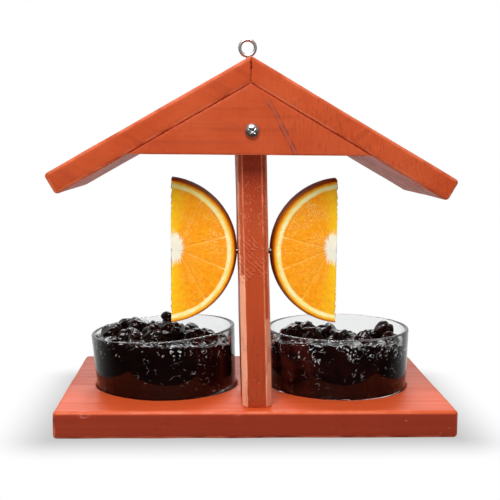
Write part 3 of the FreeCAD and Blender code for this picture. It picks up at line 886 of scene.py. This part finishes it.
def orangeMaterial(name):
    look = orangeLook
    material, tree, shader, coordinates = startMaterial(name)
    cutFace = addNode(tree, "Attribute", attribute_name="cutFace").outputs["Vector"]
    place = partsOf(cutFace)
    cloud = noiseValue(coordinates, 110, 3)
    ragged = minus(noiseValue(coordinates, 240, 3), 0.5)
    right = minus(place["X"], orange["hub"][0])
    up = minus(place["Y"], orange["hub"][1])
    heading = calc("ARCTAN2", up, right)
    reach = lengthOf(right, up)
    rim = plus(place["Z"], ragged)
    flesh = minus(rim, orange["peelThick"])
    wall = None
    for turn, half in orange["membranes"]:
        cosine, sine = math.cos(math.radians(turn)), math.sin(math.radians(turn))
        aside = minus(times(right, sine), times(up, cosine))
        ahead = plus(times(right, cosine), times(up, sine))
        behind = remap(ahead, 0.5, -0.5, 0, 9)
        gap = plus(minus(calc("ABSOLUTE", aside), half), behind)
        wall = calc("MINIMUM", wall, gap) if wall else gap
    flesh = calc("SMOOTH_MIN", flesh, wall, orange["cornerRound"])
    core = lengthOf(*[calc("DIVIDE", minus(place[axis], middle), spread) for axis, middle, spread
                      in zip("XY", orange["coreMiddle"], orange["coreReach"])])
    polar = addNode(tree, "CombineXYZ", {0: heading, 1: reach, 2: 0.0}).outputs[0]
    rays = noiseValue(mapped(polar, scale=(9, 0.10, 1)), 1.0, 2)
    core = plus(core, times(minus(rays, 0.5), 1.5))
    strands = noiseValue(mapped(polar, scale=(15, 0.42, 1)), 1.0, 3, 0.6)
    fine = noiseValue(mapped(polar, scale=(42, 0.95, 1)), 1.0, 2, 0.3)
    # pale fine strands in the flesh, stronger in the upper part as painted highlight
    strandsAndGlints = times(remap(cloud, 0.42, 0.62), remap(heading, -0.4, 0.6, 0.45, 1.0))
    wedge = times(remap(calc("ABSOLUTE", heading), 1.25, 1.75), remap(strands, 0.3, 0.7, 0.7, 1))
    faint = remap(rim, orange["peelThick"], orange["peelThick"] + 7, 1.0, 0.45)
    pith = mixColours(remap(cloud, 0.35, 0.65), look["pith"], look["pithPale"])
    deeper = remap(rim, orange["peelThick"] + 0.6, orange["peelThick"] + 3)
    membrane = mixColours(deeper, pith, look["membrane"])
    colour = layered(
        look["flesh"], (remap(strands, 0.35, 0.65), look["fleshPale"]),
        (times(remap(fine, 0.58, 0.66), strandsAndGlints), look["strandGlint"]), (wedge, look["wedge"]),
        (times(remap(flesh, 0.35, -0.15), faint), membrane), (remap(core, 1.25, 0.8), look["core"]),
        (remap(rim, 2.4, 1.2), look["zest"]), (remap(rim, 1.2, 0.1), look["zestDeep"]))
    bump = bumpFrom(plus(strands, times(fine, 0.6)), 0.0006, 0.6)
    bump = bumpFrom(noiseValue(coordinates, 700, 3), 0.0002, 0.5, bump)
    setInputs(shader, {"Base Color": colour, "Roughness": 0.42, "Normal": bump, "Specular IOR Level": 0.14,
                       "Subsurface Weight": 0.10, "Subsurface Radius": (0.9, 0.45, 0.1),
                       "Subsurface Scale": 0.002})
    return material


def peelMaterial(name):
    look = orangeLook
    material, tree, shader, coordinates = startMaterial(name)
    pores = noiseValue(coordinates, 900, 2)
    peel = mixColours(remap(pores, 0.35, 0.6), look["zestDeep"], look["peel"])
    # painted shade on the rind, darker towards the rear
    colour = mixColours(remap(attributeValue(tree, "skin"), 0.05, 0.55), peel, look["peelShade"])
    setInputs(shader, {"Base Color": colour, "Roughness": 0.5, "Specular IOR Level": 0.04,
                       "Normal": bumpFrom(pores, 0.0002, 0.6)})
    return material


def spikeCutter(level, length):
    # the bore for the spike, along X at the spike's own height above the slice's middle
    low, high = boxOf("fruit_spike")
    bm = bmesh.new()
    bmesh.ops.create_cone(bm, cap_ends=True, segments=24, radius1=orange["boreRadius"],
                          radius2=orange["boreRadius"], depth=2 * length)
    turnAbout(bm, 90, "Y")
    moveBy(bm, (length, (low.y + high.y) / 2, (low.z + high.z) / 2 - level))
    return bm


def makeSlice(side):
    node = "orange_slice_" + side
    low, high = boxOf(node)
    sign = -1 if side == "left" else 1
    width, half, thick = high.x - low.x, (high.z - low.z) / 2, high.y - low.y
    radius = (width ** 2 + half ** 2) / (2 * width)
    cutAt = radius - width
    rimOf = lambda y: math.sqrt(radius ** 2 - (high.y - y) ** 2)
    count = round(radius / orange["radialStep"])
    hollow = cutAt * orange["hollowShare"]
    steps = [hollow + (radius - hollow) * i / count for i in range(count + 1)]
    front = [Vector((step * rimOf(low.y) / radius, low.y, 0)) for step in steps]
    rear = [Vector((step, high.y, 0)) for step in reversed(steps)]
    ys = [low.y + thick * i / orange["rimSteps"] for i in range(1, orange["rimSteps"])]
    rim = [Vector((rimOf(y), y, 0)) for y in ys]
    bm = bmesh.new()
    verts = [bm.verts.new(point) for point in front + rim + rear]
    edges = [bm.edges.new(pair) for pair in zip(verts, verts[1:])]
    turnAbout(bm, 90, "Y")
    bmesh.ops.spin(bm, geom=verts + edges, cent=(0, 0, 0), axis=(0, -1, 0), angle=math.pi,
                   steps=orange["ringSteps"])
    cutByPlane(bm, (cutAt, 0, 0), (-1, 0, 0), True)
    fillHoles(bm)
    flat = [f for f in bm.faces if all(abs(v.co.x - cutAt) < 1e-3 for v in f.verts)]
    bmesh.ops.triangulate(bm, faces=flat)
    pointOut(bm)
    bm = cutAway(bm, [spikeCutter((high.z + low.z) / 2, radius)])
    skin = bm.verts.layers.float.new("skin")
    cutFace = bm.verts.layers.float_vector.new("cutFace")
    bm.normal_update()
    for vert in bm.verts:
        u, y, w = vert.co
        rimHere, reach = rimOf(y), math.hypot(u, w)
        onSkin = reach > rimHere - 1e-3
        vert[cutFace] = (u, w, rimHere - reach)
        vert[skin] = (y - low.y) / thick if onSkin and low.y + 0.01 < y < high.y - 0.01 else 0.0
        inside = orangeFlesh(u, w, rimHere)
        lift = 0.0
        onFace = min(abs(y - low.y), abs(y - high.y)) < 1e-3
        if inside > 0 and onFace and not onSkin:
            grain = Vector((math.atan2(w - orange["hub"][1], u - orange["hub"][0]) * 9, reach * 0.45, 0))
            lift = orange["puff"] * (min(inside / 1.6, 1) ** 0.5 * 0.6 + 0.5 * noise.noise(grain) - 0.5)
        if onSkin:
            lift = orange["pore"] * noise.noise(vert.co * 1.3)
        if abs(u - cutAt) < 1e-3:
            ragged = noise.noise(vert.co * 0.11) + 0.6 * noise.noise(vert.co * 0.45) + 0.5
            vert.co.x += orange["waver"] * ragged
        else:
            vert.co += vert.normal * lift
    rindX = high.x if sign < 0 else low.x
    middle = Vector((rindX + sign * radius, 0, (high.z + low.z) / 2))
    mirror = Matrix.Scale(-1, 4, axisX) if sign > 0 else Matrix.Identity(4)
    bmesh.ops.transform(bm, matrix=Matrix.Translation(middle) @ mirror, verts=bm.verts)
    if sign > 0:
        bmesh.ops.reverse_faces(bm, faces=bm.faces)
    for face in bm.faces:
        face.material_index = 1 if any(vert[skin] > 0 for vert in face.verts) else 0
    cutSide = orangeMaterial(side + "Orange")
    fruit = finishPiece(bm, "fruit_" + side, cutSide, [node], side + "_slice")
    fruit.data.materials.append(peelMaterial(side + "Peel"))


for side in ("left", "right"):
    makeSlice(side)


# Metal
def brightMetal(name, colour, roughness):
    material, _, shader, coordinates = startMaterial(name)
    scratches = noiseValue(mapped(coordinates, scale=(1, 1, 4)), 900, 3)
    rough = remap(scratches, 0.3, 0.8, roughness - 0.06, roughness + 0.12)
    setInputs(shader, {"Base Color": colour, "Metallic": 1.0, "Roughness": rough,
                       "Normal": bumpFrom(scratches, 0.00004, 0.4)})
    return material


zinc = brightMetal("zincPlate", (0.78, 0.78, 0.76, 1), 0.30)
otherLooks = {"fruit_spike": brightMetal("steelRod", (0.25, 0.25, 0.25, 1), 0.36),
              "ridge_rail": paintedWood("railPaint", (0, 0, math.radians(90)), 15.0)}
for name in ("roof_brads_left", "roof_brads_right", "post_screw_front", "post_screw_rear",
             "hanging_eye", "fruit_spike", "ridge_rail"):
    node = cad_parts[name]
    node.data.materials.clear()
    node.data.materials.append(otherLooks.get(name, zinc))

# Gable screw, a domed head with a crossed recess
screw = {"headHeight": 2.6, "recessHalf": 0.62, "recessReach": 2.5, "recessDepth": 1.9, "shankRadius": 1.9,
         "recessTurns": (40, 130), "recessMouth": 1.15, "recessFloor": 0.55, "tipShare": 0.2}


def makeGableScrew():
    low, high = boxOf("gable_screw")
    radius, rise, depth = (high.x - low.x) / 2, screw["headHeight"], screw["recessDepth"]
    middle = Vector(((low.x + high.x) / 2, low.y + rise, (low.z + high.z) / 2))
    bm = bmesh.new()
    bmesh.ops.create_uvsphere(bm, u_segments=48, v_segments=24, radius=1)
    cutByPlane(bm, (0, 0, 0), axisY, True)
    fillHoles(bm)
    for vert in bm.verts:
        # flatter in the middle than a ball is
        away = math.hypot(vert.co.x, vert.co.z)
        vert.co.y = -(1 - away ** 2.6) ** 0.5 * rise if vert.co.y < -1e-4 else 0.0
        vert.co.x, vert.co.z = vert.co.x * radius, vert.co.z * radius
    pointOut(bm)
    cutters = []
    for turn in screw["recessTurns"]:
        slot = bmesh.new()
        bmesh.ops.create_cube(slot, size=1)
        for vert in slot.verts:
            wide = 2 * (screw["recessMouth"] if vert.co.y < 0 else screw["recessFloor"])
            vert.co = Vector((vert.co.x * screw["recessReach"] * wide, vert.co.y * 2 * depth - rise,
                              vert.co.z * screw["recessHalf"] * wide))
        turnAbout(slot, turn, "Y")
        cutters.append(slot)
    bm = cutAway(bm, cutters)
    shank = bmesh.ops.create_cone(bm, cap_ends=True, segments=24, radius1=screw["shankRadius"],
                                  radius2=screw["shankRadius"] * screw["tipShare"], depth=high.y - middle.y)
    turnAbout(bm, -90, "X", shank["verts"])
    moveBy(bm, (0, (high.y - middle.y) / 2, 0), shank["verts"])
    moveBy(bm, middle)
    finishPiece(bm, "screw", zinc, ["gable_screw"])


makeGableScrew()

# Floor, backdrop, lamps and camera
studio = {
    "floorSize": 6.0, "floorBounce": (0.68, 0.68, 0.68, 1), "white": (1, 1, 1, 1), "sky": 0.26,
    # the floor and the room as metal and glass see them: how bright in front and behind, and between where
    "floorFront": 0.03, "floorRear": 0.9, "floorFade": (-0.07, 0.16),
    "roomFront": 0.16, "roomFade": (0.0, 0.5),
    # the painted soft shadow at the foot: half the base's length and width, how far it reaches and how dark
    # it is
    "shadowHalf": (0.112, 0.068), "shadowReach": 0.042, "shadowShade": 0.58, "shadowCurve": 0.8,
    # name, place, aim, size, power
    "lamps": [("overhead", (-0.10, -0.55, 0.70), (0, -0.05, 0.1), 0.34, 5.9),
              ("rear", (0.0, 1.5, 1.5), (0, 0, 0.0), 0.9, 21.0)],
}
camera = {
    "place": (-0.02451, -0.57739, 0.16418), "yaw": -2.23, "pitch": -6.44, "roll": 0.50,
    "lens": 67.07, "sensor": 36.0,
}


def makeFloor():
    bm = bmesh.new()
    bmesh.ops.create_grid(bm, x_segments=1, y_segments=1, size=studio["floorSize"])
    floor = newObject("floor", bm)
    material, tree, shader, coordinates = startMaterial("paleFloor")
    tree.nodes.remove(shader)
    seen = addNode(tree, "LightPath").outputs
    straight = calc("MAXIMUM", seen["Is Camera Ray"], seen["Is Transmission Ray"])
    place = partsOf(coordinates)
    bounce = addNode(tree, "BsdfDiffuse", {"Color": studio["floorBounce"]})
    # a painted shadow: seen straight on, the floor glows less near the base
    away = lengthOf(*[calc("MAXIMUM", minus(calc("ABSOLUTE", place[axis]), half), 0.0)
                      for axis, half in zip("XY", studio["shadowHalf"])])
    fade = calc("POWER", calc("DIVIDE", away, studio["shadowReach"]), studio["shadowCurve"])
    near = addNode(tree, "Emission", {"Strength": remap(fade, 0.0, 1.0, studio["shadowShade"], 1.0)})
    # mirrored, the floor is bright behind the feeder and dark in front of it
    mirrored = remap(place["Y"], *studio["floorFade"], studio["floorFront"], studio["floorRear"])
    room = addNode(tree, "Emission", {"Strength": mirrored})
    mix = mixShaders(seen["Is Glossy Ray"], mixShaders(straight, bounce, near), room)
    setInputs(tree.nodes["Material Output"], {"Surface": mix.outputs[0]})
    floor.data.materials.append(material)


def makeWorld():
    # white behind the feeder and at its sides, darker behind the camera, as a studio is
    world = bpy.data.worlds.new("studio")
    bpy.context.scene.world = world
    world.use_nodes = True
    tree = world.node_tree
    sky = tree.nodes["Background"]
    setInputs(sky, {"Strength": studio["sky"], "Color": studio["white"]})
    seen = addNode(tree, "LightPath").outputs
    heading = partsOf(addNode(tree, "TexCoord").outputs["Generated"])["Y"]
    shade = remap(heading, *studio["roomFade"], studio["roomFront"], 1.0)
    room = addNode(tree, "Background", {"Color": studio["white"], "Strength": shade})
    white = addNode(tree, "Background", {"Color": studio["white"], "Strength": 1.0})
    bent = calc("MAXIMUM", seen["Is Glossy Ray"], seen["Is Transmission Ray"])
    mix = mixShaders(seen["Is Camera Ray"], mixShaders(bent, sky, room), white)
    setInputs(tree.nodes["World Output"], {"Surface": mix.outputs[0]})


def makeLamps():
    for name, place, aim, size, power in studio["lamps"]:
        light = bpy.data.lights.new(name, "AREA")
        light.shape, light.size, light.energy = "SQUARE", size, power
        lamp = linked(name, light)
        lamp.location = place
        lamp.rotation_euler = (Vector(aim) - Vector(place)).to_track_quat("-Z", "Y").to_euler()


def makeCamera():
    data = bpy.data.cameras.new("camera")
    data.sensor_width, data.lens = camera["sensor"], camera["lens"]
    eye = linked("camera", data)
    turn = (Matrix.Rotation(math.radians(camera["yaw"]), 4, "Z")
            @ Matrix.Rotation(math.radians(90 + camera["pitch"]), 4, "X")
            @ Matrix.Rotation(math.radians(camera["roll"]), 4, "Z"))
    eye.matrix_world = Matrix.Translation(camera["place"]) @ turn
    bpy.context.scene.camera = eye


makeFloor()
makeWorld()
makeLamps()
makeCamera()
bpy.context.scene.view_settings.view_transform = "Standard"
